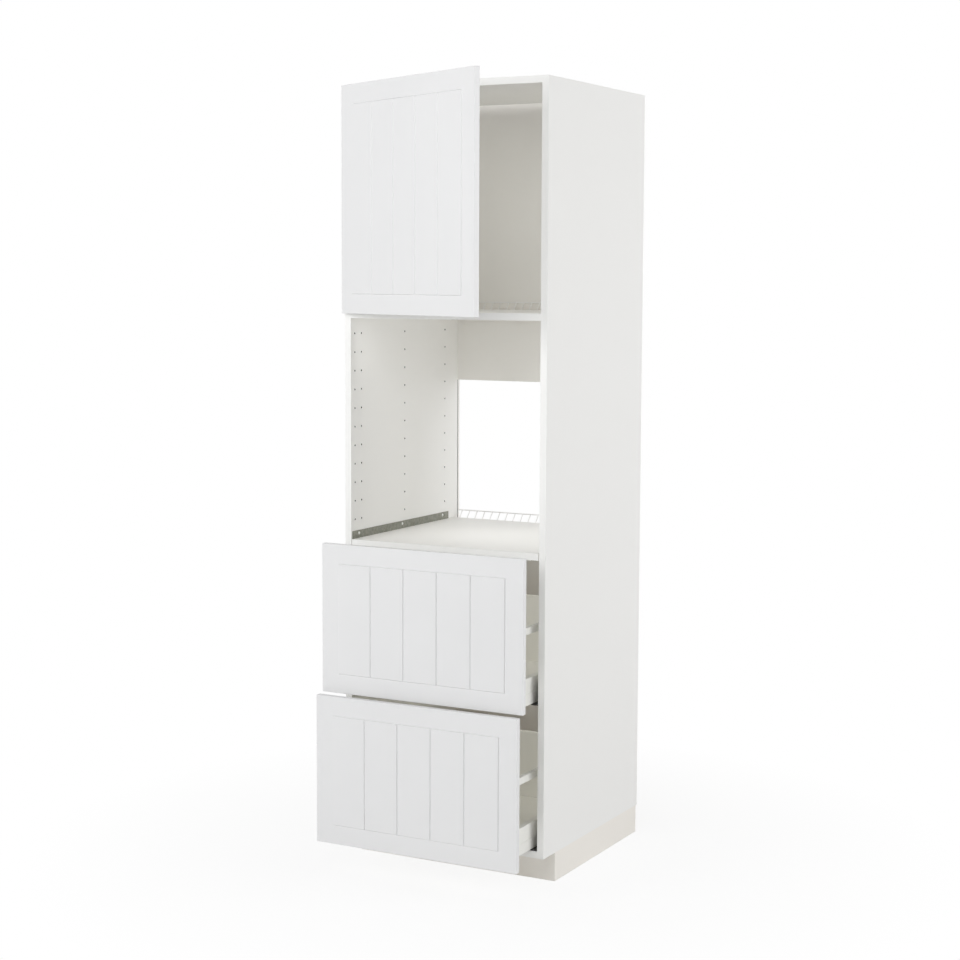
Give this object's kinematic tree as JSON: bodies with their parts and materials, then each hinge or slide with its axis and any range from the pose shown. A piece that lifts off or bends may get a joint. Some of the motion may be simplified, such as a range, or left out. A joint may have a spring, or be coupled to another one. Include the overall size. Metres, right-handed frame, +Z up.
{
  "type": "kitchen high cabinet",
  "caption": "Tall kitchen cabinet with an oven niche between a hinged plank-faced door above and plank-faced drawers below, shown with the door and drawers partly open.",
  "frame": {"origin": "on the floor, under the middle of the carcass", "axes": "+X to the right across the front, +Y from the front to the back, +Z up"},
  "size_m": [0.6012, 0.874, 2.08],
  "materials": {
    "front_paint": "satin painted board",
    "board_white": "satin melamine board",
    "back_white": "thin melamine back board",
    "plinth_white": "satin foil board",
    "drawer_board": "satin melamine board",
    "drawer_steel": "satin powder coat",
    "galvanised": "galvanised steel",
    "hinge_steel": "nickel-plated steel",
    "wire_white": "white powder coat",
    "dowel_beech": "bare beech",
    "leg_plastic": "black moulded plastic",
    "cap_plastic": "dark moulded plastic",
    "bumper_soft": "soft translucent stud"
  },
  "bodies": {
    "carcass": {"side_panel_left": "board_white", "side_panel_right": "board_white", "top_panel": "board_white", "bottom_panel": "board_white", "upper_shelf": "board_white", "oven_shelf": "board_white", "back_panel_upper": "back_white", "back_panel_lower": "back_white", "corner_dowels": "dowel_beech", "upper_shelf_pins": "galvanised", "upper_vent_grille": "wire_white", "oven_vent_grille": "wire_white", "oven_shelf_angle_left": "galvanised", "oven_shelf_angle_right": "galvanised", "angle_screws": "galvanised", "wall_bracket_left": "galvanised", "wall_bracket_right": "galvanised", "leg_columns": "leg_plastic", "plinth_front": "plinth_white", "plinth_left": "plinth_white", "plinth_right": "plinth_white", "plinth_clips": "leg_plastic", "hinge_arms": "hinge_steel", "hinge_plates": "hinge_steel", "runner_caps": "cap_plastic", "lower_runner_fixed_left": "galvanised", "lower_runner_fixed_right": "galvanised", "upper_runner_fixed_left": "galvanised", "upper_runner_fixed_right": "galvanised"},
    "door": {"door_panel": "front_paint", "hinge_cups": "hinge_steel", "hinge_pins": "hinge_steel", "door_bumpers": "bumper_soft"},
    "upper_drawer": {"upper_drawer_front": "front_paint", "upper_drawer_side_left": "drawer_steel", "upper_drawer_side_right": "drawer_steel", "upper_drawer_floor": "drawer_board", "upper_drawer_back": "drawer_board", "upper_drawer_rails": "drawer_steel", "upper_drawer_brackets": "galvanised", "upper_runner_inner": "galvanised"},
    "upper_runner_middle": {"upper_runner_middle": "galvanised"},
    "lower_drawer": {"lower_drawer_front": "front_paint", "lower_drawer_side_left": "drawer_steel", "lower_drawer_side_right": "drawer_steel", "lower_drawer_floor": "drawer_board", "lower_drawer_back": "drawer_board", "lower_drawer_rails": "drawer_steel", "lower_drawer_brackets": "galvanised", "lower_runner_inner": "galvanised"},
    "lower_runner_middle": {"lower_runner_middle": "galvanised"},
    "foot_front_left": {"foot_front_left": "leg_plastic"},
    "foot_front_right": {"foot_front_right": "leg_plastic"},
    "foot_rear_left": {"foot_rear_left": "leg_plastic"},
    "foot_rear_right": {"foot_rear_right": "leg_plastic"}
  },
  "joints": [
    {"name": "door_swing", "type": "hinge", "parent": "carcass", "child": "door", "pos_m": [-0.2912, -0.312, 1.778], "axis": [0, 0, -1], "range_deg": [-25.6, 74.4]},
    {"name": "upper_drawer_slide", "type": "slide", "parent": "carcass", "child": "upper_drawer", "axis": [0, -1, 0], "range_m": [-0.1, 0.4]},
    {"name": "upper_middle_slide", "type": "slide", "parent": "carcass", "child": "upper_runner_middle", "axis": [0, -1, 0], "range_m": [-0.05, 0.2]},
    {"name": "lower_drawer_slide", "type": "slide", "parent": "carcass", "child": "lower_drawer", "axis": [0, -1, 0], "range_m": [-0.1305, 0.3695]},
    {"name": "lower_middle_slide", "type": "slide", "parent": "carcass", "child": "lower_runner_middle", "axis": [0, -1, 0], "range_m": [-0.06525, 0.18475]},
    {"name": "foot_front_left_height", "type": "slide", "parent": "carcass", "child": "foot_front_left", "axis": [0, 0, -1], "range_m": [-0.01, 0.02]},
    {"name": "foot_front_right_height", "type": "slide", "parent": "carcass", "child": "foot_front_right", "axis": [0, 0, -1], "range_m": [-0.01, 0.02]},
    {"name": "foot_rear_left_height", "type": "slide", "parent": "carcass", "child": "foot_rear_left", "axis": [0, 0, -1], "range_m": [-0.01, 0.02]},
    {"name": "foot_rear_right_height", "type": "slide", "parent": "carcass", "child": "foot_rear_right", "axis": [0, 0, -1], "range_m": [-0.01, 0.02]}
  ],
  "couplings": [
    {"joint": "upper_middle_slide", "follows": "upper_drawer_slide", "ratio": 0.5},
    {"joint": "lower_middle_slide", "follows": "lower_drawer_slide", "ratio": 0.5}
  ]
}
